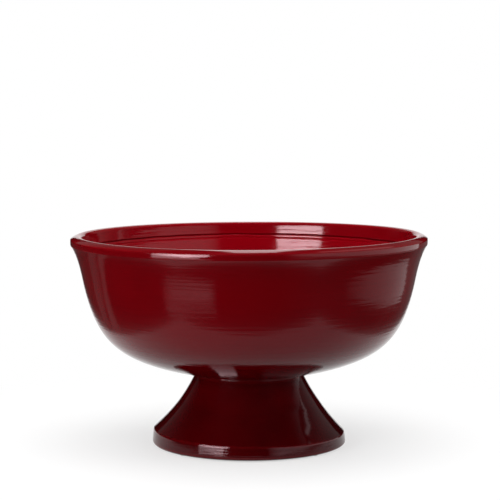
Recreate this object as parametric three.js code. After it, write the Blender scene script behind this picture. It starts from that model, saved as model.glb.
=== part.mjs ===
// A footed planter: a wide glazed bowl, luted with slip to a hollow, flared pedestal foot.
// Millimetres, +Z up. The origin is on the floor, on the axis of the foot.

import * as THREE from "three";

const { degToRad } = THREE.MathUtils;

// Bowl
const RIM_RADIUS = 150;
const BOWL_HEIGHT = 117.7; // from its underside to the top of the rim
const WALL = 9; // thickness of its wall and floor
const BELLY_RISE = degToRad(12.4); // slope of the belly where it leaves the neck
const BELLY_SWEEP = 62.5; // how far the belly is drawn along that slope
const WALL_LEAN = degToRad(11); // lean of the upper wall, from upright
const WALL_SWEEP = 61.8; // how far the wall is drawn down along that lean

// Rim: an upright face that stands out over a cove, a top that falls away outwards, and a ledge below
// a leaning band inside
const RIM_OVERHANG = 9.5; // from the top of the wall out to the rim's face
const RIM_FACE = 4.8;
const RIM_FALL = 2.8; // from the inner edge of the top to the outer one
const RIM_KNEE_FALL = 0.4; // from the inner edge to the knee, where the top bends down
const RIM_KNEE_INSET = 3.5; // of that knee, from the rim's face
const COVE_HEIGHT = 28.1; // from the top of the wall up to the rim's face
const COVE_KNEE = 19.7; // how far the cove keeps the wall's lean
const LEDGE_DEPTH = 12.6; // below the top of the rim
const LEDGE_WIDTH = 2.5;
const RIM_ROUND = 1;
const COVE_ROUND = 2.2;
const LEDGE_ROUND = 1.4;

// Pedestal foot
const FOOT_RADIUS = 82.1;
const FOOT_HEIGHT = 58.5;
const BAND_HEIGHT = 10.8; // the band at the floor
const BAND_LEAN = degToRad(5); // lean of that band towards the axis
const BAND_ROUND = 1.2; // its upper edge
const BASE_ROUND = 3.1; // its lower edge
const FLARE_HOLLOW = 2.7; // how deep the flare is hollowed below a straight cone
const NECK_RADIUS = 45.8;
const NECK_WALL = 8;
const RING_WIDTH = 13; // the ring that the foot stands on
const RING_DEPTH = 5; // how far the inside rises straight from that ring
const RING_ROUND = 1;

// Joint of the bowl and the foot
const SEAM_THICKNESS = 1;
const SEAM_RECESS = 0.4; // how far the slip stays in from the outside of the neck
const SPIGOT_HEIGHT = 5; // ring under the bowl that centres it in the neck
const SPIGOT_WALL = 6;
const SPIGOT_CLEARANCE = 0.5;
const SPIGOT_ROUND = 1;

// Drain hole and its plug
const DRAIN_RADIUS = 11;
const DRAIN_ROUND = 1.2;
const PLUG_CLEARANCE = 0.3;
const PLUG_LIP = 6; // flange past the edge of the hole
const PLUG_FLANGE = 2.5;
const PLUG_TAIL = 3; // plug below the bowl's underside
const PLUG_ROUND = 1;
const RIB_COUNT = 2;
const RIB_DEPTH = 1;
const RIB_HEIGHT = 2.4;
const KNOB_RADIUS = 6;
const KNOB_WAIST = 4;
const KNOB_HEIGHT = 9;
const KNOB_ROUND = 2;

// Pads under the foot
const PAD_COUNT = 4;
const PAD_RADIUS = 4;
const PAD_THICKNESS = 1;

// Facets of the turned pieces and of their curves
const BODY_SIDES = 56;
const PLUG_SIDES = 24;
const PAD_SIDES = 20;
const BELLY_STEPS = 11;
const COVE_STEPS = 4;
const RIM_STEPS = 3;
const FLARE_STEPS = 7;
const ROUND_STEPS = 2;
const ROUND_SHARE = 0.45; // most of an edge that one rounded corner may take

// Levels above the floor
const FOOT_BASE_Z = PAD_THICKNESS;
const FOOT_TOP_Z = FOOT_BASE_Z + FOOT_HEIGHT;
const BOWL_BASE_Z = FOOT_TOP_Z + SEAM_THICKNESS;
const FLOOR_Z = BOWL_BASE_Z + WALL * Math.cos(BELLY_RISE);
const RIM_Z = BOWL_BASE_Z + BOWL_HEIGHT;
const LEDGE_Z = RIM_Z - LEDGE_DEPTH;
const FACE_TOP_Z = RIM_Z - RIM_FALL;
const FACE_BASE_Z = FACE_TOP_Z - RIM_FACE;

// Radii that two pieces share
const NECK_BORE = NECK_RADIUS - NECK_WALL;

// A point of an outline: its distance from the axis and its level
const at = (radius, level) => new THREE.Vector2(radius, level);

// A corner of an outline, rounded from the given distance before it to the same distance after it
const corner = (radius, level, round = 0) => ({ point: at(radius, level), round });

const sharp = (points) => points.map((point) => ({ point, round: 0 }));

function partWay(from, to, reach) {
  const length = from.distanceTo(to);
  return from.clone().lerp(to, Math.min(reach / length, ROUND_SHARE));
}

// The points of an outline, with its corners rounded
function roundedOutline(corners) {
  const last = corners.length - 1;
  return corners.flatMap(({ point, round }, index) => {
    if (round === 0 || index === 0 || index === last) {
      return [point];
    }
    const start = partWay(point, corners[index - 1].point, round);
    const end = partWay(point, corners[index + 1].point, round);
    return new THREE.QuadraticBezierCurve(start, point, end).getPoints(ROUND_STEPS);
  });
}

// A piece turned about Z from an outline that runs up its outside and down its inside
function turned(name, corners, sides, material) {
  const geometry = new THREE.LatheGeometry(roundedOutline(corners), sides);
  geometry.rotateX(Math.PI / 2);
  const mesh = new THREE.Mesh(geometry, material);
  mesh.name = name;
  return mesh;
}

// Points along the arc from one point to another that bows in towards the axis
function hollowArc(from, to, hollow) {
  const chord = to.clone().sub(from);
  const radius = chord.lengthSq() / (8 * hollow) + hollow / 2;
  const outward = at(chord.y, -chord.x).normalize();
  const centre = from.clone().lerp(to, 0.5).addScaledVector(outward, radius - hollow);
  const startAngle = from.clone().sub(centre).angle();
  const endAngle = to.clone().sub(centre).angle();
  const clockwise = endAngle < startAngle;
  return new THREE.EllipseCurve(centre.x, centre.y, radius, radius, startAngle, endAngle, clockwise)
    .getPoints(FLARE_STEPS);
}

function glaze() {
  return new THREE.MeshStandardMaterial({ color: 0x7a0512, roughness: 0.12, metalness: 0 });
}

function softRubber() {
  return new THREE.MeshStandardMaterial({ color: 0x2b2928, roughness: 0.6, metalness: 0 });
}

function clearPadRubber() {
  return new THREE.MeshStandardMaterial({ color: 0xb9b4aa, roughness: 0.45, metalness: 0 });
}

// The belly and upper wall of the bowl, outside, from the neck to the foot of the cove
const wallTop = at(RIM_RADIUS - RIM_OVERHANG, FACE_BASE_Z - COVE_HEIGHT);
const wallRun = at(Math.sin(WALL_LEAN), Math.cos(WALL_LEAN));
const bellyRun = at(Math.cos(BELLY_RISE), Math.sin(BELLY_RISE));
const neckEdge = at(NECK_RADIUS, BOWL_BASE_Z);
const bellyCurve = new THREE.CubicBezierCurve(
  neckEdge,
  neckEdge.clone().addScaledVector(bellyRun, BELLY_SWEEP),
  wallTop.clone().addScaledVector(wallRun, -WALL_SWEEP),
  wallTop,
);

// The inside of the bowl follows the outside, one wall thickness in
function bellyInside() {
  const points = [];
  for (let step = 0; step <= BELLY_STEPS; step += 1) {
    const share = step / BELLY_STEPS;
    const run = bellyCurve.getTangent(share);
    points.push(bellyCurve.getPoint(share).addScaledVector(at(-run.y, run.x), WALL));
  }
  return points;
}

function bowl() {
  const spigotRadius = NECK_BORE - SPIGOT_CLEARANCE;
  const spigotBore = spigotRadius - SPIGOT_WALL;
  const spigotBase = BOWL_BASE_Z - SPIGOT_HEIGHT;
  const rimBase = at(RIM_RADIUS, FACE_BASE_Z);
  const coveKnee = wallTop.clone().addScaledVector(wallRun, COVE_KNEE);
  const cove = new THREE.QuadraticBezierCurve(wallTop, coveKnee, rimBase).getPoints(COVE_STEPS);
  const inside = bellyInside();
  const insideTop = inside.at(-1);
  const ledgeRadius = insideTop.x + (LEDGE_Z - insideTop.y) * Math.tan(WALL_LEAN);
  const bandBase = at(ledgeRadius + LEDGE_WIDTH, LEDGE_Z);
  const rimBore = bandBase.x + LEDGE_DEPTH * Math.tan(WALL_LEAN);
  const rimEdge = at(RIM_RADIUS, FACE_TOP_Z);
  const rimKnee = at(RIM_RADIUS - RIM_KNEE_INSET, RIM_Z - RIM_KNEE_FALL);
  const rimTop = new THREE.QuadraticBezierCurve(rimEdge, rimKnee, at(rimBore, RIM_Z)).getPoints(RIM_STEPS);
  const holeMiddle = (BOWL_BASE_Z + FLOOR_Z) / 2;
  const outline = [
    corner(DRAIN_RADIUS, holeMiddle),
    corner(DRAIN_RADIUS, BOWL_BASE_Z, DRAIN_ROUND),
    corner(spigotBore, BOWL_BASE_Z),
    corner(spigotBore, spigotBase, SPIGOT_ROUND),
    corner(spigotRadius, spigotBase, SPIGOT_ROUND),
    corner(spigotRadius, BOWL_BASE_Z),
    ...sharp(bellyCurve.getPoints(BELLY_STEPS)),
    ...sharp(cove.slice(1, -1)),
    corner(rimBase.x, rimBase.y, COVE_ROUND),
    corner(rimEdge.x, rimEdge.y, RIM_ROUND),
    ...sharp(rimTop.slice(1, -1)),
    corner(rimBore, RIM_Z, RIM_ROUND),
    corner(bandBase.x, bandBase.y, LEDGE_ROUND),
    corner(ledgeRadius, LEDGE_Z, LEDGE_ROUND),
    ...sharp(inside.slice(1).reverse()),
    corner(inside[0].x, FLOOR_Z),
    corner(DRAIN_RADIUS, FLOOR_Z, DRAIN_ROUND),
    corner(DRAIN_RADIUS, holeMiddle),
  ];
  return turned("bowl", outline, BODY_SIDES, glaze());
}

function pedestalFoot() {
  const bandTop = at(FOOT_RADIUS - BAND_HEIGHT * Math.tan(BAND_LEAN), FOOT_BASE_Z + BAND_HEIGHT);
  const ringBore = FOOT_RADIUS - RING_WIDTH;
  const ringTop = at(ringBore, FOOT_BASE_Z + RING_DEPTH);
  const neckTop = at(NECK_RADIUS, FOOT_TOP_Z);
  const neckBoreTop = at(NECK_BORE, FOOT_TOP_Z);
  const outside = hollowArc(bandTop, neckTop, FLARE_HOLLOW);
  const inside = hollowArc(ringTop, neckBoreTop, FLARE_HOLLOW);
  const outline = [
    corner(ringTop.x, ringTop.y),
    corner(ringBore, FOOT_BASE_Z, RING_ROUND),
    corner(FOOT_RADIUS, FOOT_BASE_Z, BASE_ROUND),
    corner(bandTop.x, bandTop.y, BAND_ROUND),
    ...sharp(outside.slice(1, -1)),
    corner(neckTop.x, neckTop.y),
    corner(neckBoreTop.x, neckBoreTop.y),
    ...sharp(inside.slice(1, -1).reverse()),
    corner(ringTop.x, ringTop.y),
  ];
  return turned("pedestal_foot", outline, BODY_SIDES, glaze());
}

// The slip lies between the top of the neck and the underside of the bowl, and is glazed over with them
function slipSeam() {
  const outline = [
    corner(NECK_BORE, FOOT_TOP_Z),
    corner(NECK_RADIUS - SEAM_RECESS, FOOT_TOP_Z),
    corner(NECK_RADIUS - SEAM_RECESS, BOWL_BASE_Z),
    corner(NECK_BORE, BOWL_BASE_Z),
    corner(NECK_BORE, FOOT_TOP_Z),
  ];
  return turned("slip_seam", outline, BODY_SIDES, glaze());
}

// A ribbed stopper whose flange lies on the bowl's floor, with a knob to pull it by
function drainPlug() {
  const ribRadius = DRAIN_RADIUS - PLUG_CLEARANCE;
  const shankRadius = ribRadius - RIB_DEPTH;
  const flangeRadius = DRAIN_RADIUS + PLUG_LIP;
  const tailZ = BOWL_BASE_Z - PLUG_TAIL;
  const flangeTop = FLOOR_Z + PLUG_FLANGE;
  const knobTop = flangeTop + KNOB_HEIGHT;
  const knobMiddle = (flangeTop + knobTop) / 2;
  const ribs = [];
  for (let rib = 1; rib <= RIB_COUNT; rib += 1) {
    const ribZ = BOWL_BASE_Z + ((FLOOR_Z - BOWL_BASE_Z) * rib) / (RIB_COUNT + 1);
    ribs.push(corner(shankRadius, ribZ - RIB_HEIGHT / 2));
    ribs.push(corner(ribRadius, ribZ));
    ribs.push(corner(shankRadius, ribZ + RIB_HEIGHT / 2));
  }
  const outline = [
    corner(0, tailZ),
    corner(shankRadius, tailZ, PLUG_ROUND),
    ...ribs,
    corner(shankRadius, FLOOR_Z),
    corner(flangeRadius, FLOOR_Z),
    corner(flangeRadius, flangeTop, PLUG_ROUND),
    corner(KNOB_WAIST, flangeTop, PLUG_ROUND),
    corner(KNOB_WAIST, knobMiddle, PLUG_ROUND),
    corner(KNOB_RADIUS, knobMiddle, PLUG_ROUND),
    corner(KNOB_RADIUS, knobTop, KNOB_ROUND),
    corner(0, knobTop),
  ];
  return turned("drain_plug", outline, PLUG_SIDES, softRubber());
}

// The pads are spaced evenly round the middle of the flat of the base ring
function floorPads() {
  const flatOuter = FOOT_RADIUS - BASE_ROUND;
  const flatInner = FOOT_RADIUS - RING_WIDTH + RING_ROUND;
  const circle = (flatOuter + flatInner) / 2;
  const outline = [
    corner(0, 0),
    corner(PAD_RADIUS, 0),
    corner(PAD_RADIUS, FOOT_BASE_Z),
    corner(0, FOOT_BASE_Z),
  ];
  const pads = [];
  for (let index = 0; index < PAD_COUNT; index += 1) {
    const angle = ((index + 0.5) / PAD_COUNT) * 2 * Math.PI;
    const pad = turned(`floor_pad_${index + 1}`, outline, PAD_SIDES, clearPadRubber());
    pad.position.set(circle * Math.cos(angle), circle * Math.sin(angle), 0);
    pads.push(pad);
  }
  return pads;
}

const planter = new THREE.Group();
planter.add(bowl(), pedestalFoot(), slipSeam(), drainPlug(), ...floorPads());

export default planter;
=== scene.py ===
"""A footed planter: a wide red-glazed bowl on a hollow, flared foot, in a plain white studio.

Metres, +Z up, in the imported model's frame: the origin is on the floor, on the planter's axis.
"""

import math
from collections import namedtuple

import bmesh
import bpy
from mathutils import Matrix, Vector, noise
from mathutils.geometry import interpolate_bezier


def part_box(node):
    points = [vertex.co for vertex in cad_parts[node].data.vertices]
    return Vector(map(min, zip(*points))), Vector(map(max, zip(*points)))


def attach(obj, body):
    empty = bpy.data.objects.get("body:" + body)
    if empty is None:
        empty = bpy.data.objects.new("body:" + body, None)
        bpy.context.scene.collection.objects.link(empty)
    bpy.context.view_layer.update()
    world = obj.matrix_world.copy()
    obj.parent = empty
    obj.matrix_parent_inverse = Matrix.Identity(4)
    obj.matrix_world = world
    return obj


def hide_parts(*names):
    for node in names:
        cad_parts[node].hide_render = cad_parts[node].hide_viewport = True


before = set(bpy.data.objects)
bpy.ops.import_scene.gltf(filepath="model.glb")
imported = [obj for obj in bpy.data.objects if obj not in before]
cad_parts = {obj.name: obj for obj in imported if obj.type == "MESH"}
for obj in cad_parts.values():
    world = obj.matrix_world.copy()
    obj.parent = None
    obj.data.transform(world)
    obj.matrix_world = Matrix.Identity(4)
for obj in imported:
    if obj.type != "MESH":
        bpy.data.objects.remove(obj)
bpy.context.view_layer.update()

MM = 0.001

# Sizes of the bowl's outline
WALL = 9 * MM  # thickness of its wall and floor
BELLY_RISE = math.radians(12.4)  # slope of the belly where it leaves the neck
BELLY_SWEEP = 62.5 * MM  # how far the belly is drawn along that slope
WALL_LEAN = math.radians(11)  # lean of the upper wall, from upright
WALL_SWEEP = 61.8 * MM  # how far the wall is drawn down along that lean
RIM_OVERHANG = 9.5 * MM  # from the top of the wall out to the rim's face
RIM_FACE = 4.8 * MM
RIM_FACE_BULGE = 0.08 * MM
RIM_FACE_ROUND = RIM_FACE / 4
RIM_FALL = 2.8 * MM  # from the inner edge of the rim's top to the outer one
RIM_KNEE_FALL = 0.4 * MM  # from the inner edge to the knee, where the top bends down
RIM_KNEE_INSET = 3.5 * MM  # of that knee, from the rim's face
COVE_HEIGHT = 28.1 * MM  # from the top of the wall up to the rim's face
COVE_KNEE = 19.7 * MM  # how far the cove keeps the wall's lean
RIM_LIP = 3.2 * MM  # the inner edge of the top is rounded over this
LEDGE_DEPTH = 13 * MM  # below the top of the rim
LEDGE_WIDTH = 2.5 * MM
LEDGE_UNDERCUT = 0.7 * MM  # how deep the band is cut in just above the ledge, and how high
LEDGE_UNDERCUT_HEIGHT = 1.2 * MM
BEAD_FACE = 1.7 * MM  # the ledge's edge, with a groove below it
BEAD_ROUND = 0.5 * MM
GROOVE_HEIGHT = 1.2 * MM
GROOVE_DEPTH = 0.35 * MM
RIM_ROUND = 0.7 * MM
COVE_ROUND = 1.2 * MM
LEDGE_ROUND = 1.4 * MM
SPIGOT_WALL = 6 * MM
SPIGOT_CLEARANCE = 0.5 * MM
SPIGOT_ROUND = 1 * MM
FLOOR_BLEND = 20 * MM  # how far in from the wall its floor is drawn up into it
FLOOR_BLEND_POINTS = 5  # of the wall's inside, that this takes up
DRAIN_RADIUS = 11 * MM
DRAIN_ROUND = 1.2 * MM

# Sizes of the foot's outline
BAND_HEIGHT = 10.8 * MM  # the band at the floor
BAND_LEAN = math.radians(6.5)  # lean of that band towards the axis
BAND_ROUND = 1.2 * MM
BAND_BULGE = 0.07 * MM
BAND_BULGE_ROUND = BAND_HEIGHT / 5
BASE_ROUND = 3.1 * MM
FLARE_HOLLOW = 2.7 * MM  # how deep the flare is hollowed below a straight cone
NECK_WALL = 8 * MM
RING_WIDTH = 13 * MM  # the ring that the foot stands on
RING_DEPTH = 5 * MM
RING_ROUND = 1 * MM

# Sizes of the joint, the plug and the pads
SEAM_RECESS = 0.4 * MM
PLUG_CLEARANCE = 0.3 * MM
PLUG_FLANGE = 2.5 * MM
PLUG_ROUND = 1 * MM
RIB_COUNT = 2
RIB_DEPTH = 1 * MM
RIB_HEIGHT = 2.4 * MM
KNOB_RADIUS = 6 * MM
KNOB_WAIST = 4 * MM
KNOB_HEIGHT = 9 * MM
KNOB_ROUND = 2 * MM
KNOB_DIMPLE = 0.5 * MM
PAD_COUNT = 4
PAD_ROUND = 0.35 * MM

# Levels and radii, from the frame
bowl_low, bowl_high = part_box("bowl")
foot_low, foot_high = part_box("pedestal_foot")
seam_low, seam_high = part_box("slip_seam")
plug_low, plug_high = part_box("drain_plug")
RIM_RADIUS = bowl_high.x
RIM_Z = bowl_high.z
SPIGOT_Z = bowl_low.z
BOWL_BASE_Z = seam_high.z
FLOOR_Z = BOWL_BASE_Z + WALL * math.cos(BELLY_RISE)
LEDGE_Z = RIM_Z - LEDGE_DEPTH
FACE_TOP_Z = RIM_Z - RIM_FALL
FACE_BASE_Z = FACE_TOP_Z - RIM_FACE
FOOT_BASE_Z = foot_low.z
FOOT_TOP_Z = seam_low.z
FOOT_RADIUS = foot_high.x + BASE_ROUND * math.sin(BAND_LEAN)  # of the band's foot, before it is rounded
NECK_RADIUS = seam_high.x + SEAM_RECESS
NECK_BORE = NECK_RADIUS - NECK_WALL

# Fineness of the turned meshes
BODY_SIDES = 256
PLUG_SIDES = 72
PAD_SIDES = 40
CURVE_POINTS = 48
ROUND_POINTS = 8
ROUND_SHARE = 0.45  # most of an edge that one rounded corner may take
HOLD_REACH = 0.2 * MM  # past a rounded corner, where a point holds the flat beside it flat
HOLD_SHARE = 0.49
KNEE_SHARE = 2 / 3  # sets the two handles of a curve that has one knee
OUTLINE_SPACING = 3.4 * MM  # most between points along an outline
PLUG_SPACING = 0.8 * MM
SHARP_ANGLE = math.radians(50)

# Unevenness of work that was turned by hand
WOBBLE = 0.22 * MM
WOBBLE_TURNS = 1.3  # bumps of the wobble round the axis, and up it
WOBBLE_RISE = 14.0
WOBBLE_SHIFT = Vector((7, 3, 5))  # sets the wobble upwards apart from the wobble outwards
RIM_LEAN = 0.0035  # the rim rises by this share of the way to the right
RIM_LEAN_REACH = 26 * MM  # below the rim, where that lean has died out
RIM_SAG = 1.4 * MM  # and it has sagged by this at the back
RIM_SAG_REACH = 12 * MM  # below the rim, where that sag has died out
BAND_LEAN_OVER = 0.018  # and the top of the foot's band falls by this share
BAND_LEAN_REACH = 24 * MM  # above the band's top, where that lean has died out
RUN_DEPTH = 0.11 * MM  # the glaze has run unevenly down one side of the foot
RUN_SCALE = 95.0
RUN_ANGLE = math.radians(-38)  # the middle of that side, from the +X axis, and how far it reaches
RUN_REACH = math.radians(24)
LEDGE_WAVE = 0.45 * MM
LEDGE_WAVE_TURNS = 9.0
LEDGE_WAVE_SLICE = 0.37  # the height at which its noise is cut
LEDGE_WAVE_REACH = 3.5 * MM

# How the glaze lies: it runs thin over edges and gathers in hollows; last, how far the painted light inside
# the bowl reaches
EDGE_REACH = 2.2 * MM  # bends of the outline within this count
EDGE_BEND = 3 * MM  # an edge of this radius is fully thin
LIP_PAINTED_LIGHT = 0.5  # how far the rim's lip has gone over to the painted light of the bowl's lighter inside
UNDERCUT_PAINTED_LIGHT = 0.6  # and the undercut below it

# Camera, from the photograph's perspective
CAMERA_PLACE = Vector((0.0008, -1.5, 0.3098))
CAMERA_PITCH = math.radians(5.537)
CAMERA_LENS = 128.6  # millimetres
CAMERA_SENSOR = 36.0  # millimetres, as Blender's cameras have it

# A corner of an outline. bare is 1 where the clay shows, and inside is 1 inside the bowl, where light is
# painted into the glaze.
Corner = namedtuple("Corner", "radius level round bare inside", defaults=(0.0, 0.0, 0.0))


def on_curve(points, bare=0.0, inside=0.0):
    """Points of a curve as unrounded corners of an outline."""
    return [Corner(point.x, point.y, 0.0, bare, inside) for point in points]


def bent(start, knee, end, count):
    """Points from start to end along a curve that leaves and arrives in the direction of the knee."""
    return interpolate_bezier(start, start.lerp(knee, KNEE_SHARE), end.lerp(knee, KNEE_SHARE), end, count)


def hollow(start, end, depth, count):
    """Points from start to end along a curve that bows in towards the axis."""
    chord = end - start
    inward = Vector((-chord.y, chord.x)).normalized()
    return bent(start, start.lerp(end, 0.5) + inward * 2 * depth, end, count)


def rounded(corners):
    """The outline with its corners rounded; its first and last corner stay as they are."""
    points = [corners[0]]
    for before, here, after in zip(corners, corners[1:], corners[2:]):
        if here.round == 0:
            points.append(here)
            continue
        middle = Vector((here.radius, here.level))
        ends = []
        holds = []
        for other in (before, after):
            far = Vector((other.radius, other.level))
            length = (far - middle).length
            ends.append(middle.lerp(far, min(here.round / length, ROUND_SHARE)))
            holds.append(middle.lerp(far, min((here.round + HOLD_REACH) / length, HOLD_SHARE)))
        curve = [holds[0], *bent(ends[0], middle, ends[1], ROUND_POINTS), holds[1]]
        points += on_curve(curve, here.bare, here.inside)
    points.append(corners[-1])
    return points


def spaced(points, spacing):
    """The outline with points added, so that none is further than the spacing from the next."""
    result = [points[0]]
    for start, end in zip(points, points[1:]):
        length = math.hypot(end.radius - start.radius, end.level - start.level)
        steps = max(1, math.ceil(length / spacing))
        for step in range(1, steps + 1):
            share = step / steps
            result.append(Corner(*(a + (b - a) * share for a, b in zip(start, end))))
    return result


def edge_bends(points, closed):
    """How sharply the outline turns near each point: +1 round an edge, -1 in a hollow, 0 on the flat."""
    count = len(points)
    places = [Vector((point.radius, point.level)) for point in points]
    turns = []
    for index, here in enumerate(places):
        if not closed and index in (0, count - 1):
            turns.append(0.0)
            continue
        arriving = here - places[index - 1]
        leaving = places[(index + 1) % count] - here
        turns.append(-arriving.angle_signed(leaving) if arriving.length and leaving.length else 0.0)
    bends = []
    for here in places:
        reached = 0.0
        for there, turn in zip(places, turns):
            distance = (there - here).length
            if distance < EDGE_REACH:
                reached += turn * (1 - distance / EDGE_REACH)
        bends.append(max(-1.0, min(1.0, reached / EDGE_REACH * EDGE_BEND)))
    return bends


def hand_wobble(radius, level, angle):
    """Shift outwards and upwards of a point, for work that was turned by hand."""
    around = Vector((math.cos(angle), math.sin(angle), 0)) * WOBBLE_TURNS
    slow = around + Vector((0, 0, level * WOBBLE_RISE))
    return WOBBLE * noise.noise(slow), WOBBLE * noise.noise(slow + WOBBLE_SHIFT)


def bowl_wobble(radius, level, angle):
    """As hand_wobble, with the rim out of level and sagged at the back, and the ledge drawn unevenly."""
    out, up = hand_wobble(radius, level, angle)
    up += RIM_LEAN * radius * math.cos(angle) * max(0, 1 - (RIM_Z - level) / RIM_LEAN_REACH)
    up -= RIM_SAG * max(0, math.sin(angle)) ** 2 * max(0, 1 - (RIM_Z - level) / RIM_SAG_REACH)
    near = 1 - abs(level - LEDGE_Z) / LEDGE_WAVE_REACH
    if near > 0 and radius < RIM_RADIUS - WALL:
        around = Vector((math.cos(angle), math.sin(angle), LEDGE_WAVE_SLICE)) * LEDGE_WAVE_TURNS
        up += LEDGE_WAVE * near * noise.noise(around)
    return out, up


def foot_wobble(radius, level, angle):
    """As hand_wobble, with the top of the foot's band a little out of level, and glaze that has run."""
    out, up = hand_wobble(radius, level, angle)
    away = (angle - RUN_ANGLE + math.pi) % (2 * math.pi) - math.pi
    near = max(0, 1 - abs(away) / RUN_REACH)
    place = Vector((radius * math.cos(angle), radius * math.sin(angle), level))
    out += RUN_DEPTH * near * noise.noise(place * RUN_SCALE)
    band_top = FOOT_BASE_Z + BAND_HEIGHT
    reach = BAND_HEIGHT if level < band_top else BAND_LEAN_REACH
    share = max(0, 1 - abs(level - band_top) / reach)
    return out, up - BAND_LEAN_OVER * FOOT_RADIUS * math.cos(angle) * share


def turned(name, corners, sides, spacing, wobble=None, centre=(0, 0)):
    """A mesh turned about a vertical axis from an outline that runs up its outside and down its inside.

    An outline that starts and ends on the axis closes there; any other one closes on itself.
    """
    closed = corners[0].radius > 0
    points = spaced(rounded(corners), spacing)
    if closed:
        points.pop()
    bends = edge_bends(points, closed)
    shape = bmesh.new()
    bend_layer = shape.verts.layers.float.new("edge_bend")
    bare_layer = shape.verts.layers.float.new("bare")
    inside_layer = shape.verts.layers.float.new("inside")
    rings = []
    for point, bend in zip(points, bends):
        ring = []
        for side in range(1 if point.radius == 0 else sides):
            angle = 2 * math.pi * side / sides
            out, up = wobble(point.radius, point.level, angle) if wobble else (0, 0)
            reach = point.radius + out if point.radius else 0
            x = centre[0] + reach * math.cos(angle)
            y = centre[1] + reach * math.sin(angle)
            vert = shape.verts.new((x, y, point.level + up))
            vert[bend_layer] = bend
            vert[bare_layer] = point.bare
            vert[inside_layer] = point.inside
            ring.append(vert)
        rings.append(ring)
    pairs = list(zip(rings, rings[1:]))
    if closed:
        pairs.append((rings[-1], rings[0]))
    for lower, upper in pairs:
        for side in range(sides):
            following = (side + 1) % sides
            low = [lower[side], lower[following]] if len(lower) > 1 else [lower[0]]
            high = [upper[following], upper[side]] if len(upper) > 1 else [upper[0]]
            shape.faces.new(low + high)
    mesh = bpy.data.meshes.new(name)
    shape.to_mesh(mesh)
    shape.free()
    mesh.shade_smooth()
    mesh.set_sharp_from_angle(angle=SHARP_ANGLE)
    piece = bpy.data.objects.new(name, mesh)
    bpy.context.scene.collection.objects.link(piece)
    return piece


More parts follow.
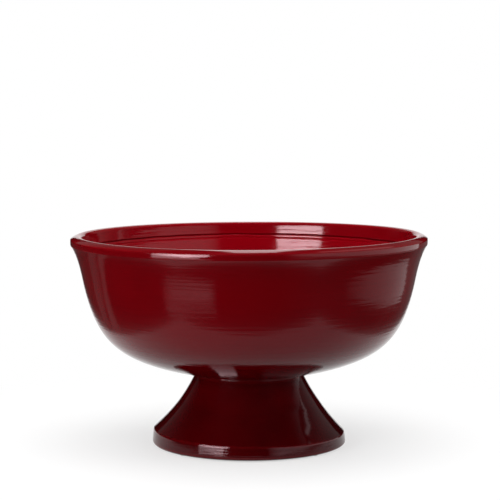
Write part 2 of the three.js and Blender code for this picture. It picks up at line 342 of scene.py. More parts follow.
def bowl():
    """The bowl: from its drain hole out over the spigot and the belly, over the rim and back inside."""
    spigot_radius = NECK_BORE - SPIGOT_CLEARANCE
    spigot_bore = spigot_radius - SPIGOT_WALL
    wall_run = Vector((math.sin(WALL_LEAN), math.cos(WALL_LEAN)))
    belly_run = Vector((math.cos(BELLY_RISE), math.sin(BELLY_RISE)))
    neck_edge = Vector((NECK_RADIUS, BOWL_BASE_Z))
    wall_top = Vector((RIM_RADIUS - RIM_OVERHANG, FACE_BASE_Z - COVE_HEIGHT))
    belly = interpolate_bezier(
        neck_edge,
        neck_edge + belly_run * BELLY_SWEEP,
        wall_top - wall_run * WALL_SWEEP,
        wall_top,
        CURVE_POINTS,
    )
    rim_base = Vector((RIM_RADIUS, FACE_BASE_Z))
    cove = bent(wall_top, wall_top + wall_run * COVE_KNEE, rim_base, CURVE_POINTS // 2)
    inside = []
    for before, here, after in zip(belly[:1] + belly, belly, belly[1:] + belly[-1:]):
        run = (after - before).normalized()
        inside.append(here + Vector((-run.y, run.x)) * WALL)
    ledge_radius = inside[-1].x + (LEDGE_Z - inside[-1].y) * math.tan(WALL_LEAN)
    band_radius = ledge_radius + LEDGE_WIDTH
    rim_bore = band_radius + LEDGE_DEPTH * math.tan(WALL_LEAN)
    rim_edge = Vector((RIM_RADIUS, FACE_TOP_Z))
    rim_knee = Vector((RIM_RADIUS - RIM_KNEE_INSET, RIM_Z - RIM_KNEE_FALL))
    lip_start = Vector((rim_bore + RIM_LIP, RIM_Z))
    lip_end = Vector((rim_bore - RIM_LIP * math.sin(WALL_LEAN), RIM_Z - RIM_LIP * math.cos(WALL_LEAN)))
    rim_top = bent(rim_edge, rim_knee, lip_start, ROUND_POINTS)
    rim_lip = bent(lip_start, Vector((rim_bore, RIM_Z)), lip_end, 2 * ROUND_POINTS)
    face_middle = (FACE_TOP_Z + FACE_BASE_Z) / 2
    undercut_top = LEDGE_Z + LEDGE_UNDERCUT_HEIGHT
    undercut_radius = band_radius + LEDGE_UNDERCUT_HEIGHT * math.tan(WALL_LEAN)
    bead_base = LEDGE_Z - BEAD_FACE
    groove_base = bead_base - GROOVE_HEIGHT
    bead_radius = ledge_radius - BEAD_FACE * math.tan(WALL_LEAN)
    groove_radius = bead_radius - GROOVE_HEIGHT * math.tan(WALL_LEAN)
    groove_floor = (bead_radius + groove_radius) / 2 + GROOVE_DEPTH
    groove_middle = (bead_base + groove_base) / 2
    hole_middle = (BOWL_BASE_Z + FLOOR_Z) / 2
    floor_edge = Vector((inside[0].x - FLOOR_BLEND, FLOOR_Z))
    floor_blend = bent(inside[FLOOR_BLEND_POINTS], inside[0], floor_edge, 2 * ROUND_POINTS)
    outline = [
        Corner(DRAIN_RADIUS, hole_middle, inside=1),
        Corner(DRAIN_RADIUS, BOWL_BASE_Z, DRAIN_ROUND, bare=1),
        Corner(spigot_bore, BOWL_BASE_Z, 0, bare=1),
        Corner(spigot_bore, SPIGOT_Z, SPIGOT_ROUND, bare=1),
        Corner(spigot_radius, SPIGOT_Z, SPIGOT_ROUND, bare=1),
        Corner(spigot_radius, BOWL_BASE_Z, 0, bare=1),
        *on_curve(belly),
        *on_curve(cove[1:-1]),
        Corner(*rim_base, COVE_ROUND),
        Corner(RIM_RADIUS + RIM_FACE_BULGE, face_middle, RIM_FACE_ROUND),
        Corner(*rim_edge, RIM_ROUND),
        *on_curve(rim_top[1:-1]),
        *on_curve(rim_lip, inside=LIP_PAINTED_LIGHT),
        Corner(undercut_radius, undercut_top, LEDGE_ROUND / 2, inside=UNDERCUT_PAINTED_LIGHT),
        Corner(undercut_radius + LEDGE_UNDERCUT, LEDGE_Z, LEDGE_ROUND / 2, inside=1),
        Corner(ledge_radius, LEDGE_Z, BEAD_ROUND, inside=1),
        Corner(bead_radius, bead_base, BEAD_ROUND, inside=1),
        Corner(groove_floor, groove_middle, BEAD_ROUND, inside=1),
        Corner(groove_radius, groove_base, BEAD_ROUND, inside=1),
        *on_curve(inside[:FLOOR_BLEND_POINTS:-1], inside=1),
        *on_curve(floor_blend, inside=1),
        Corner(DRAIN_RADIUS, FLOOR_Z, DRAIN_ROUND, inside=1),
        Corner(DRAIN_RADIUS, hole_middle, inside=1),
    ]
    return turned("glazed_bowl", outline, BODY_SIDES, OUTLINE_SPACING, bowl_wobble)


def pedestal_foot():
    """The hollow foot: from its base ring up the outside, and down the bare inside."""
    band_top = Vector((FOOT_RADIUS - BAND_HEIGHT * math.tan(BAND_LEAN), FOOT_BASE_Z + BAND_HEIGHT))
    bulge_radius = (FOOT_RADIUS + band_top.x) / 2 + BAND_BULGE
    ring_bore = FOOT_RADIUS - RING_WIDTH
    ring_top = Vector((ring_bore, FOOT_BASE_Z + RING_DEPTH))
    neck_top = Vector((NECK_RADIUS, FOOT_TOP_Z))
    bore_top = Vector((NECK_BORE, FOOT_TOP_Z))
    outside = hollow(band_top, neck_top, FLARE_HOLLOW, CURVE_POINTS)
    inside = hollow(ring_top, bore_top, FLARE_HOLLOW, CURVE_POINTS)
    outline = [
        Corner(*ring_top, 0, bare=1),
        Corner(ring_bore, FOOT_BASE_Z, RING_ROUND, bare=1),
        Corner(FOOT_RADIUS - 2 * BASE_ROUND, FOOT_BASE_Z, 0, bare=1),
        Corner(FOOT_RADIUS, FOOT_BASE_Z, BASE_ROUND),
        Corner(bulge_radius, FOOT_BASE_Z + BAND_HEIGHT / 2, BAND_BULGE_ROUND),
        Corner(*band_top, BAND_ROUND),
        *on_curve(outside[1:-1]),
        Corner(*neck_top),
        Corner(*bore_top, 0, bare=1),
        *on_curve(inside[-2:0:-1], bare=1),
        Corner(*ring_top, 0, bare=1),
    ]
    return turned("glazed_foot", outline, BODY_SIDES, OUTLINE_SPACING, foot_wobble)


def slip_seam():
    """The slip that joins the bowl to the foot, set back a little and glazed over."""
    seam_radius = NECK_RADIUS - SEAM_RECESS
    outline = [
        Corner(NECK_BORE, FOOT_TOP_Z, 0, bare=1),
        Corner(seam_radius, FOOT_TOP_Z),
        Corner(seam_radius, BOWL_BASE_Z),
        Corner(NECK_BORE, BOWL_BASE_Z, 0, bare=1),
        Corner(NECK_BORE, FOOT_TOP_Z, 0, bare=1),
    ]
    return turned("glazed_seam", outline, BODY_SIDES, OUTLINE_SPACING, hand_wobble)


def drain_plug():
    """The plug that fills the drain hole: a ribbed shank, a flange and a knob to pull."""
    rib_radius = DRAIN_RADIUS - PLUG_CLEARANCE
    shank_radius = rib_radius - RIB_DEPTH
    flange_radius = plug_high.x
    tail_z = plug_low.z
    flange_top = FLOOR_Z + PLUG_FLANGE
    knob_top = plug_high.z
    knob_middle = flange_top + KNOB_HEIGHT / 2
    ribs = []
    for rib in range(1, RIB_COUNT + 1):
        rib_z = BOWL_BASE_Z + (FLOOR_Z - BOWL_BASE_Z) * rib / (RIB_COUNT + 1)
        ribs.append(Corner(shank_radius, rib_z - RIB_HEIGHT / 2))
        ribs.append(Corner(rib_radius, rib_z, RIB_DEPTH / 2))
        ribs.append(Corner(shank_radius, rib_z + RIB_HEIGHT / 2))
    outline = [
        Corner(0, tail_z),
        Corner(shank_radius, tail_z, PLUG_ROUND),
        *ribs,
        Corner(shank_radius, FLOOR_Z),
        Corner(flange_radius, FLOOR_Z),
        Corner(flange_radius, flange_top, PLUG_ROUND),
        Corner(KNOB_WAIST, flange_top, PLUG_ROUND),
        Corner(KNOB_WAIST, knob_middle, PLUG_ROUND),
        Corner(KNOB_RADIUS, knob_middle, PLUG_ROUND),
        Corner(KNOB_RADIUS, knob_top, KNOB_ROUND),
        Corner(KNOB_WAIST, knob_top, KNOB_ROUND),
        Corner(KNOB_WAIST / 2, knob_top - KNOB_DIMPLE, PLUG_ROUND),
        Corner(0, knob_top - KNOB_DIMPLE),
    ]
    return turned("rubber_plug", outline, PLUG_SIDES, PLUG_SPACING)


def floor_pad(node):
    """A round rubber pad in the place of the node."""
    low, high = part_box(node)
    centre = (low + high) / 2
    radius = high.x - centre.x
    outline = [
        Corner(0, low.z),
        Corner(radius, low.z, PAD_ROUND),
        Corner(radius, high.z, PAD_ROUND / 2),
        Corner(0, high.z),
    ]
    return turned(f"rubber_{node}", outline, PAD_SIDES, PLUG_SPACING, centre=(centre.x, centre.y))


class Shader:
    """A material with one Principled shader, and short calls to add nodes to it."""

    def __init__(self, name):
        self.material = bpy.data.materials.new(name)
        self.material.use_nodes = True
        self.tree = self.material.node_tree
        self.principled = self.tree.nodes["Principled BSDF"]
        self.place = self.node("TexCoord").outputs["Object"]

    def set(self, socket, value):
        """Gives an input a plain value, or links another node's output to it."""
        if isinstance(value, bpy.types.NodeSocket):
            self.tree.links.new(value, socket)
        else:
            socket.default_value = value

    def node(self, kind, inputs=None, **settings):
        made = self.tree.nodes.new("ShaderNode" + kind)
        for name, value in settings.items():
            setattr(made, name, value)
        for key, value in (inputs or {}).items():
            self.set(made.inputs[key], value)
        return made

    def surface(self, **inputs):
        for name, value in inputs.items():
            self.set(self.principled.inputs[name.replace("_", " ")], value)

    def attribute(self, name):
        return self.node("Attribute", attribute_name=name).outputs["Fac"]

    def maths(self, operation, first, second):
        return self.node("Math", {0: first, 1: second}, operation=operation).outputs[0]

    def noise(self, vector, scale, detail):
        inputs = {"Vector": vector, "Scale": scale, "Detail": detail}
        return self.node("TexNoise", inputs).outputs["Fac"]

    def ramp(self, value, low, high, start=0.0, end=1.0):
        """start where the value is at low, end where it is at high, and smooth between them."""
        inputs = {"Value": value, "From Min": low, "From Max": high, "To Min": start, "To Max": end}
        return self.node("MapRange", inputs, interpolation_type="SMOOTHSTEP").outputs[0]

    def mix(self, share, first, second):
        """The first colour, gone over to the second by the share."""
        return self.node("Mix", {0: share, 6: first, 7: second}, data_type="RGBA").outputs[2]

    def bump(self, height, depth, normal=None, strength=1.0):
        inputs = {"Height": height, "Distance": depth, "Strength": strength}
        if normal:
            inputs["Normal"] = normal
        return self.node("Bump", inputs).outputs["Normal"]


# Colours of the glaze and of the clay below it
GLAZE_RED = (0.118, 0.0001, 0.0019, 1)
# Painted light: the glaze inside the bowl is painted lighter, for the light that falls in it
GLAZE_INSIDE_PAINTED_LIGHT = (0.24, 0.0005, 0.0045, 1)
GLAZE_THIN = (0.19, 0.004, 0.006, 1)
# The colour of glaze pooled in hollows, and also of the painted shade on the foot
GLAZE_POOLED_AND_SHADED = (0.036, 0.0002, 0.0008, 1)
GLAZE_IOR = 1.32
GLAZE_TINT = (1, 0.72, 0.78, 1)  # of light that the glaze mirrors
CLAY = (0.46, 0.36, 0.26, 1)
CLAY_DARK = (0.33, 0.24, 0.16, 1)
CLAY_ROUGHNESS = 0.82
FOOT_PAINTED_SHADE = 0.9  # painted shade: how much darker the foot's glaze is painted than the bowl's, for the shade under the bowl

# Noise in the glaze and the clay: bumps to the metre, and layers of detail
LINE_ROUND = 22.0  # the lines run far round the pot, and lie close together up it
LINE_UP = 330.0
LINE_NOISE = (1.0, 3.0)  # after that stretch
SWELL_NOISE = (42.0, 1.0)
PEEL_NOISE = (420.0, 2.0)
CLOUD_NOISE = (17.0, 3.0)
CLAY_NOISE = (900.0, 4.0)

# How deep those bumps are
SWELL_DEPTH = 0.12 * MM
LINE_DEPTH = 0.15 * MM
PEEL_DEPTH = 0.004 * MM
CLAY_DEPTH = 0.2 * MM

# Ramps: the two values that they run between, and what they give at each where that isn't 0 and 1
EDGE_WEAR = (0.2, 0.7, 0.7, 1.2)
CLOUD_SPAN = (0.25, 0.75)
CLOUD_DEEP = 0.12  # how much darker and lighter the clouds make the glaze
LINE_DEEP = (0.3, 0.7, -0.04, 0.04)
EDGE_THIN = (0.15, 0.95, 0.0, 0.2)
HOLLOW_POOLED = (-0.1, -0.9, 0.0, 0.6)
CLAY_SPAN = (0.3, 0.7)
BARE_BREAK = (0.2, 0.8, -0.12, 0.12)
BARE_SPAN = (0.45, 0.6)
LINE_GLOSS = (0.25, 0.75, 0.06, 0.11)
CLOUD_GLOSS = (0.3, 0.7, -0.01, 0.02)
LINE_FADE = (0.1, 0.22, 1.0, 0.15)  # the lines are weaker on edges

# The rubber of the plug and of the pads
PLUG_COLOUR = (0.012, 0.011, 0.01, 1)
PLUG_DUST = (0.06, 0.055, 0.05, 1)
PLUG_ROUGHNESS = 0.5
PAD_COLOUR = (0.46, 0.43, 0.38, 1)
PAD_DUST = (0.34, 0.31, 0.27, 1)
PAD_ROUGHNESS = 0.42
RUBBER_NOISE = (2600.0, 3.0)
RUBBER_DEPTH = 0.03 * MM
DUST_NOISE = (160.0, 3.0)
DUST_CLOUD = (0.42, 0.75, 0.0, 0.5)
DUST_EDGE = (0.2, 1.0, 0.0, 0.35)
SHEEN_SPAN = (0.3, 0.75)
SHEEN_SMOOTHER = 0.08
SHEEN_ROUGHER = 0.1


def glaze_material(name, painted_shade=0.0):
    """Deep red gloss glaze over pale clay, darkened all over by its last argument as painted shade."""
    shader = Shader(name)
    parts = shader.node("SeparateXYZ", {0: shader.place})
    flat = shader.node("CombineXYZ", {0: parts.outputs[0], 1: parts.outputs[1]}).outputs[0]
    radius = shader.node("VectorMath", {0: flat}, operation="LENGTH").outputs["Value"]
    along = shader.maths("ADD", radius, parts.outputs[2])

    # Fine lines round the pot, from the wheel and the brush
    line_place = shader.node(
        "CombineXYZ",
        {
            0: shader.maths("MULTIPLY", parts.outputs[0], LINE_ROUND),
            1: shader.maths("MULTIPLY", parts.outputs[1], LINE_ROUND),
            2: shader.maths("MULTIPLY", along, LINE_UP),
        },
    ).outputs[0]
    lines = shader.noise(line_place, *LINE_NOISE)
    swell = shader.noise(shader.place, *SWELL_NOISE)
    peel = shader.noise(shader.place, *PEEL_NOISE)
    cloud = shader.noise(shader.place, *CLOUD_NOISE)

    # Thin and lighter over edges, pooled and darker in hollows, painted lighter inside the bowl for the
    # light there, and darkened all over as painted shade by the last argument
    edge = shader.attribute("edge_bend")
    worn_edge = shader.maths("MULTIPLY", edge, shader.ramp(peel, *EDGE_WEAR))
    # Painted shade: the glaze's random clouds are shifted darker by the last argument
    depth = shader.ramp(cloud, *CLOUD_SPAN, painted_shade - CLOUD_DEEP, painted_shade + CLOUD_DEEP)
    depth = shader.maths("ADD", depth, shader.ramp(lines, *LINE_DEEP))
    thin = shader.ramp(worn_edge, *EDGE_THIN)
    pooled_and_painted_shade = shader.maths("ADD", depth, shader.ramp(worn_edge, *HOLLOW_POOLED))
    # Painted light: inside the bowl the glaze is painted lighter
    red = shader.mix(shader.attribute("inside"), GLAZE_RED, GLAZE_INSIDE_PAINTED_LIGHT)
    # Darker where the glaze pools in hollows, and as painted shade on the foot
    red = shader.mix(pooled_and_painted_shade, red, GLAZE_POOLED_AND_SHADED)
    red = shader.mix(thin, red, GLAZE_THIN)

    # Bare clay under the pot, where the glaze ends in a broken line
    grain = shader.noise(shader.place, *CLAY_NOISE)
    clay = shader.mix(shader.ramp(grain, *CLAY_SPAN), CLAY, CLAY_DARK)
    broken = shader.maths("ADD", shader.attribute("bare"), shader.ramp(peel, *BARE_BREAK))
    bare = shader.ramp(broken, *BARE_SPAN)
    gloss = shader.ramp(lines, *LINE_GLOSS)
    gloss = shader.maths("ADD", gloss, shader.ramp(cloud, *CLOUD_GLOSS))
    rough = shader.node("Mix", {0: bare, 2: gloss, 3: CLAY_ROUGHNESS}).outputs[0]

    normal = shader.bump(swell, SWELL_DEPTH)
    normal = shader.bump(lines, LINE_DEPTH, normal, shader.ramp(edge, *LINE_FADE))
    normal = shader.bump(peel, PEEL_DEPTH, normal)
    clay_height = shader.maths("MULTIPLY", grain, bare)
    normal = shader.bump(clay_height, CLAY_DEPTH, normal)
    shader.surface(Base_Color=shader.mix(bare, red, clay), Roughness=rough, IOR=GLAZE_IOR, Normal=normal)
    shader.surface(Specular_Tint=GLAZE_TINT)
    return shader.material


def rubber_material(name, colour, dusty, rough):
    """Moulded rubber: a fine grain, soft clouds of dust and a slightly uneven sheen."""
    shader = Shader(name)
    grain = shader.noise(shader.place, *RUBBER_NOISE)
    cloud = shader.noise(shader.place, *DUST_NOISE)
    dust = shader.ramp(cloud, *DUST_CLOUD)
    worn = shader.ramp(shader.attribute("edge_bend"), *DUST_EDGE)
    dust = shader.maths("ADD", dust, worn)
    colour = shader.mix(dust, colour, dusty)
    normal = shader.bump(grain, RUBBER_DEPTH)
    roughness = shader.ramp(cloud, *SHEEN_SPAN, rough - SHEEN_SMOOTHER, rough + SHEEN_ROUGHER)
    shader.surface(Base_Color=colour, Roughness=roughness, Normal=normal)
    return shader.material


def dress(piece, body, slot, material, *nodes):
    """The piece takes the material, moves with the body and stands for the nodes; the slot is not used."""
    piece.data.materials.append(material)
    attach(piece, body)
    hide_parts(*nodes)


# The object
# The bowl's glaze is painted lighter inside the bowl, as painted light
bowl_glaze = glaze_material("red_glaze_bowl")
# Painted shade: the foot and the seam get a darker copy of the glaze, for the shade under the bowl
foot_glaze_painted_shade = glaze_material("red_glaze_foot_painted_shade", painted_shade=FOOT_PAINTED_SHADE)
plug_rubber = rubber_material("plug_rubber", PLUG_COLOUR, PLUG_DUST, PLUG_ROUGHNESS)
pad_rubber = rubber_material("pad_rubber", PAD_COLOUR, PAD_DUST, PAD_ROUGHNESS)
dress(bowl(), "planter", "red_glaze", bowl_glaze, "bowl")
dress(pedestal_foot(), "planter", "red_glaze", foot_glaze_painted_shade, "pedestal_foot")
dress(slip_seam(), "planter", "red_glaze", foot_glaze_painted_shade, "slip_seam")
dress(drain_plug(), "plug", "plug_rubber", plug_rubber, "drain_plug")
for number in range(1, PAD_COUNT + 1):
    node = f"floor_pad_{number}"
    dress(floor_pad(node), "planter", "pad_rubber", pad_rubber, node)


# The studio: a white floor that curves up into a wall all round
STUDIO_MIDDLE = 1 * MM  # how far from the axis the floor starts
STUDIO_RADIUS = 3.6
STUDIO_COVE = 0.7
STUDIO_WALL = 1.8
STUDIO_SIDES = 96
SHADOW_RADIUS = 0.12  # the floor shows the planter's shadow within this, and fades to white past it
WHITE_RADIUS = 0.36  # and is all white from here on
SHADOW_SHARE = 0.35  # of the floor's look near the planter that is lit by the lamps
FLOOR_WHITE = (0.82, 0.82, 0.82, 1)
FLOOR_BOUNCE = (0.18, 0.18, 0.18, 1)  # its colour for the light that it throws back on the planter
WHITE = (1, 1, 1, 1)
BLACK = (0, 0, 0, 1)
AIR_STRENGTH = 0.03  # of the light from all round

# A dark flag lies on the floor and curtains stand round it, outside the camera's view, so that the glaze
# doesn't mirror white all over. The floor and the wall that the camera sees are white in the glaze too.
FLAG_REACH = 2.4
FLAG_LIFT = 0.5 * MM
FLAG_MARGIN = 5 * MM  # kept between the view and the flag
FLAG_BLACK = (0.02, 0.02, 0.02, 1)
FLAG_ROUGHNESS = 0.09
FLAG_IOR = 1.2
FLAG_FADE = (  # how far outside the view, and the flag's light there
    (0, 0.6),
    (0.014, 0.32),
    (0.032, 0.15),
    (0.06, 0.055),
    (0.1, 0.015),
    (0.16, 0),
    (FLAG_REACH, 0),
)
SIDE_DEPTHS = (-0.1, 0.05, 0.2, 0.35, 0.6, FLAG_REACH)
LEFT_GLOW = (0, 0, 0, 0.01, 0.02, 0.02)  # the least light of the flag beside the view, at those depths
RIGHT_GLOW = (0, 0.01, 0.03, 0.07, 0.11, 0.15)
CORNER_STEPS = 6
CURTAIN_TOP = 1.7
CURTAIN_LEFT = math.radians(-166)  # from straight in front of the planter, positive to the right
CURTAIN_RIGHT = math.radians(166)
CURTAIN_STEPS = 60
CURTAIN_SIDE_STEPS = 3
BACK_GAP = math.radians(169.5)  # the side curtains come in to this, above the view
BACK_GAP_LOW = 0.6
VELVET_ROUGHNESS = 1.0
VELVET_IOR = 1.5
CARD_LIFT = 1 * MM

# What the camera sees of the floor
VIEW_SLOPE = CAMERA_SENSOR / 2 / CAMERA_LENS  # half the view's width, at a distance of 1
VIEW_LOW = CAMERA_PITCH + math.atan(VIEW_SLOPE)  # angle of the view's lower edge, below level
VIEW_FRONT = CAMERA_PLACE.y + CAMERA_PLACE.z / math.tan(VIEW_LOW) - FLAG_MARGIN  # Y of its front edge

# Where the upright cards stand, as X and Y of their points
RIGHT_STAND = ((0.9, 0.8), (0.9, 0.1), (0.9, -1.2), (0.9, -2.2))
KEY_STAND = ((-1.07, -0.64), (-0.79, -0.89), (-0.49, -1.156))
KEY_LOW_STAND = (*KEY_STAND[:2], (-0.59, -1.067))
HIGH_STAND = ((0.52, 2.1), (1.6, 1.6), (2.2, 0.9), (2.2, 0.2))
HIGH_LEFT_STAND = ((-2.2, 0.9), (-1.6, 1.6), (-0.52, 2.1))

# What the lamps face. The one overhead is turned a hair off straight down, which settles its turn.
LAMP_TARGET = (0, 0, 0.12)
OVERHEAD_TARGET = (0, 0.001, 0)


def stage_mesh(name, rows, material, closed=False):
    """A surface of the studio, spanned by rows of points; each row closes on itself where it is closed.

    A point is its place, and its light where it has any.
    """
    shape = bmesh.new()
    glow_layer = shape.verts.layers.float.new("glow")
    verts = []
    for row in rows:
        made = []
        for x, y, z, *glow in row:
            vert = shape.verts.new((x, y, z))
            vert[glow_layer] = glow[0] if glow else 0.0
            made.append(vert)
        verts.append(made)
    for lower, upper in zip(verts, verts[1:]):
        count = len(lower)
        for index in range(count if closed else count - 1):
            following = (index + 1) % count
            shape.faces.new([lower[index], lower[following], upper[following], upper[index]])
    mesh = bpy.data.meshes.new(name)
    shape.to_mesh(mesh)
    shape.free()
    mesh.shade_smooth()
    mesh.materials.append(material)
    piece = bpy.data.objects.new(name, mesh)
    bpy.context.scene.collection.objects.link(piece)
    return piece


def ring(radius, level, start=0.0, end=2 * math.pi, steps=STUDIO_SIDES, closed=True):
    """Points round the axis, from one angle to another, counted from straight in front of the planter."""
    angles = [start + (end - start) * step / (steps if closed else steps - 1) for step in range(steps)]
    return [(radius * math.sin(angle), -radius * math.cos(angle), level) for angle in angles]


def studio_material():
    """Matt white. The camera and the glaze see it plain white, but shaded near the planter and under it."""
    shader = Shader("studio_white")
    tree = shader.tree
    tree.nodes.remove(shader.principled)
    distance = shader.node("VectorMath", {0: shader.place}, operation="LENGTH").outputs["Value"]
    white = shader.ramp(distance, SHADOW_RADIUS, WHITE_RADIUS, 1 - SHADOW_SHARE, 1.0)
    white = shader.maths("MULTIPLY", white, shader.ramp(distance, FOOT_RADIUS - RING_WIDTH, FOOT_RADIUS))
    path = shader.node("LightPath").outputs
    mirrored = shader.maths("ADD", path["Is Glossy Ray"], path["Is Transmission Ray"])
    seen = shader.maths("ADD", path["Is Camera Ray"], mirrored)
    share = shader.maths("MULTIPLY", seen, white)
    colour = shader.mix(seen, FLOOR_BOUNCE, FLOOR_WHITE)
    matt = shader.node("BsdfDiffuse", {"Color": colour}).outputs[0]
    glow = shader.node("Emission", {"Color": WHITE, "Strength": 1.0}).outputs[0]
    both = shader.node("MixShader", {0: share, 1: matt, 2: glow}).outputs[0]
    shader.set(tree.nodes["Material Output"].inputs["Surface"], both)
    return shader.material


def card_material(name, colour, roughness, ior):
    """A card, curtain or flag: its own colour, and as much light as its points are given."""
    shader = Shader(name)
    shader.surface(Base_Color=colour, Roughness=roughness, IOR=ior)
    shader.surface(Emission_Color=WHITE, Emission_Strength=shader.attribute("glow"))
    return shader.material


def only_mirrored(piece):
    """The piece shows in reflections alone, and neither lights nor shades anything."""
    piece.visible_camera = False
    piece.visible_diffuse = False
    piece.visible_shadow = False


def view_side(depth):
    """How far to each side the camera sees the floor, at a depth along Y, with the margin."""
    ahead = (depth - CAMERA_PLACE.y) * math.cos(CAMERA_PITCH) + CAMERA_PLACE.z * math.sin(CAMERA_PITCH)
    return VIEW_SLOPE * ahead + FLAG_MARGIN


def flag_row(reach, shade):
    """Points at a reach outside the floor in view, from its back left round its front to its right."""
    corner = view_side(VIEW_FRONT)
    runs = []
    for side, glows in ((-1, LEFT_GLOW), (1, RIGHT_GLOW)):
        run = []
        for step in range(CORNER_STEPS + 1):
            turn = math.pi / 2 * step / CORNER_STEPS
            x = side * (corner + reach * math.sin(turn))
            run.append((x, VIEW_FRONT - reach * math.cos(turn), FLAG_LIFT, shade))
        for y, glow in zip(SIDE_DEPTHS, glows):
            run.append((side * (view_side(y) + reach), y, FLAG_LIFT, max(shade, glow)))
        runs.append(run)
    return runs[0][::-1] + runs[1]


def hang_curtain(name, start, end, steps, low):
    """A dark curtain round the planter, from one angle to another, that hangs down to a level."""
    rows = [ring(FLAG_REACH, z, start, end, steps, closed=False) for z in (low, CURTAIN_TOP)]
    only_mirrored(stage_mesh(name, rows, velvet))


def on_floor(*points):
    """A row of a card that lies on the floor: X, Y and the light of each point."""
    return [(x, y, CARD_LIFT, light) for x, y, light in points]


def upright(stand, *points):
    """A row of an upright card: the level and the light at each X and Y of its stand."""
    return [(x, y, z, light) for (x, y), (z, light) in zip(stand, points)]


def card(name, *rows):
    """A card that shows in reflections alone. Its points give their place, and the light there."""
    only_mirrored(stage_mesh(name, rows, velvet))


def softbox(name, place, target, width, height, radiance):
    """A rectangular lamp at a place, facing a target, that the glaze doesn't mirror."""
    lamp = bpy.data.lights.new(name, "AREA")
    lamp.shape = "RECTANGLE"
    lamp.size = width
    lamp.size_y = height
    lamp.energy = radiance * math.pi * width * height
    box = bpy.data.objects.new(name, lamp)
    box.location = place
    box.rotation_euler = (Vector(target) - Vector(place)).to_track_quat("-Z", "Y").to_euler()
    box.visible_camera = False
    box.visible_glossy = False
    bpy.context.scene.collection.objects.link(box)


# Floor and wall
cove_start = Vector((STUDIO_RADIUS - STUDIO_COVE, 0))
cove_end = Vector((STUDIO_RADIUS, STUDIO_COVE))
cove = bent(cove_start, Vector((STUDIO_RADIUS, 0)), cove_end, CURVE_POINTS)
sweep = [ring(STUDIO_MIDDLE, 0)]
sweep += [ring(point.x, point.y) for point in cove]
sweep.append(ring(STUDIO_RADIUS, STUDIO_WALL))
stage_mesh("studio_floor", sweep, studio_material(), closed=True)

# Flag and curtains
polish = card_material("flag_polish", FLAG_BLACK, FLAG_ROUGHNESS, FLAG_IOR)
velvet = card_material("card_velvet", BLACK, VELVET_ROUGHNESS, VELVET_IOR)
only_mirrored(stage_mesh("flag", [flag_row(reach, shade) for reach, shade in FLAG_FADE], polish))
hang_curtain("curtain", CURTAIN_LEFT, CURTAIN_RIGHT, CURTAIN_STEPS, 0)
hang_curtain("curtain_left", -BACK_GAP, CURTAIN_LEFT, CURTAIN_SIDE_STEPS, BACK_GAP_LOW)
hang_curtain("curtain_right", CURTAIN_RIGHT, BACK_GAP, CURTAIN_SIDE_STEPS, BACK_GAP_LOW)

# The pale patch with slanting sides on the right of the bowl's wall
card(
    "card_right",
    on_floor((0.345, -0.21, 0.3), (0.372, -0.1, 0.7), (0.43, 0.265, 0.8)),
    on_floor((0.6, -0.21, 0.3), (0.6, -0.1, 0.7), (0.6, 0.435, 0.8)),
)
# The strip on the left of the wall, with a fainter one beside it
card(
    "card_left",
    on_floor((-0.25, 0.02, 0.22), (-0.7, 0.2, 0.22)),
    on_floor((-0.25, 0.07, 0.22), (-0.7, 0.25, 0.22)),
)
card(
    "card_left_back",
    on_floor((-0.25, 0.09, 0.12), (-0.7, 0.27, 0.12)),
    on_floor((-0.25, 0.13, 0.12), (-0.7, 0.5, 0.12)),
)
# The band on the right of the foot, and the lower part of the one on the right of the rim
card(
    "panel_right",
    upright(RIGHT_STAND, (0.02, 1.5), (0.02, 1.6), (0.02, 1.8), (0.02, 0)),
    upright(RIGHT_STAND, (0.2, 1.5), (0.28, 1.6), (0.42, 1.6), (0.52, 0)),
    upright(RIGHT_STAND, (0.21, 1.2), (0.34, 1.2), (0.87, 1.2), (1.28, 0)),
)
# The crescent on the rim's face, left of the front
card(
    "key_card",
    upright(KEY_STAND, (0.11, 9), (0.07, 31), (0.075, 15)),
    upright(KEY_STAND, (0.19, 22), (0.19, 35), (0.19, 26)),
    upright(KEY_STAND, (0.25, 2), (0.25, 3), (0.25, 2)),
)
# The bright patch inside the bowl, at the back right
card(
    "key_high",
    upright(KEY_STAND, (0.44, 27), (0.45, 27), (0.47, 27)),
    upright(KEY_STAND, (0.65, 27), (0.68, 27), (0.7, 27)),
)
# The bright patch on the foot's band
card(
    "key_low",
    upright(KEY_LOW_STAND, (0.004, 7), (0.004, 8), (0.004, 7)),
    upright(KEY_LOW_STAND, (0.1, 8), (0.065, 10.5), (0.07, 8)),
)
# The bright lines along the front and the back of the rim
card(
    "back_card",
    [(-0.2, 1.7, 0.7, 1.2), (0.28, 1.7, 0.7, 1.2)],
    [(-0.16, 1.1, 1.75, 4.6), (0.23, 1.1, 1.75, 4.6)],
    [(-0.14, 0.75, 2.1, 8), (0.21, 0.75, 2.1, 8)],
)
# The square on the left front of the wall
card(
    "card_front",
    on_floor((-0.3, -0.23, 0.1), (-0.26, -0.255, 0.2), (-0.14, -0.32, 0.12), (-0.11, -0.335, 0.08)),
    on_floor((-0.32, -0.245, 0.07), (-0.275, -0.275, 1.2), (-0.15, -0.345, 1.3), (-0.12, -0.36, 0.05)),
    on_floor((-0.38, -0.3, 0), (-0.33, -0.34, 1.2), (-0.18, -0.42, 1.3), (-0.14, -0.44, 0)),
)
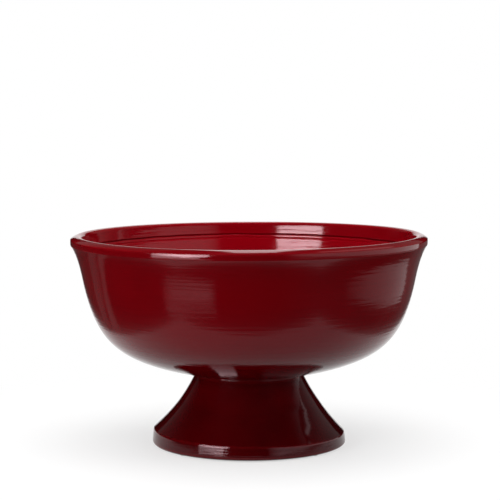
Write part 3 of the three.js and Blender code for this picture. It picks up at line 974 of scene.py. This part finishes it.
# The faint sheen on the rim's top and on the flare of the foot, at the right and at the left
card(
    "panel_high",
    upright(HIGH_STAND, (0.9, 0.1), (0.3, 0.24), (0.5, 0.1), (0.65, 0)),
    upright(HIGH_STAND, (3.2, 0.05), (3.0, 0.1), (2.8, 0.05), (2.6, 0)),
)
card(
    "panel_high_left",
    upright(HIGH_LEFT_STAND, (0.5, 0), (0.4, 0.07), (0.9, 0.2)),
    upright(HIGH_LEFT_STAND, (2.8, 0), (3.0, 0.05), (3.2, 0.1)),
)
# The upper part of the band on the right of the rim
card(
    "rim_card",
    [(1.17, 1.9, 1.6, 0.5), (1.65, 1.5, 1.8, 0.6), (2.07, 0.54, 2.4, 0.7)],
    [(0.65, 0.94, 2.4, 0.8), (0.92, 0.75, 2.4, 0.8), (1.22, 0.265, 2.4, 0.8)],
)
# The streak down the right of the foot
card(
    "strip_card",
    [(0.9, 0.43, 0.3, 0.9), (0.92, 0.375, 0.3, 0.9)],
    [(0.92, 0.28, 0.95, 1.4), (0.94, 0.22, 0.95, 1.4)],
)

# Lamps, and the light from all round
softbox("overhead", (0, 0, 2.4), OVERHEAD_TARGET, width=2.6, height=2.6, radiance=4.0)
softbox("key", (-0.79, -0.89, 0.34), LAMP_TARGET, width=0.78, height=0.6, radiance=7.5)
softbox("fill", (1.3, -1.6, 0.8), LAMP_TARGET, width=1.2, height=1.2, radiance=2.6)
softbox("side_right", (1.6, 0.1, 0.4), LAMP_TARGET, width=1.0, height=0.8, radiance=5.0)
softbox("side_left", (-1.6, 0.1, 0.4), LAMP_TARGET, width=1.0, height=0.8, radiance=2.0)
world = bpy.data.worlds.new("studio_air")
world.use_nodes = True
world.node_tree.nodes["Background"].inputs["Color"].default_value = WHITE
world.node_tree.nodes["Background"].inputs["Strength"].default_value = AIR_STRENGTH
bpy.context.scene.world = world

camera = bpy.data.objects.new("camera", bpy.data.cameras.new("camera"))
camera.data.lens = CAMERA_LENS
camera.location = CAMERA_PLACE
camera.rotation_euler = (math.pi / 2 - CAMERA_PITCH, 0, 0)
bpy.context.scene.collection.objects.link(camera)
bpy.context.scene.camera = camera
bpy.context.scene.view_settings.view_transform = "Standard"
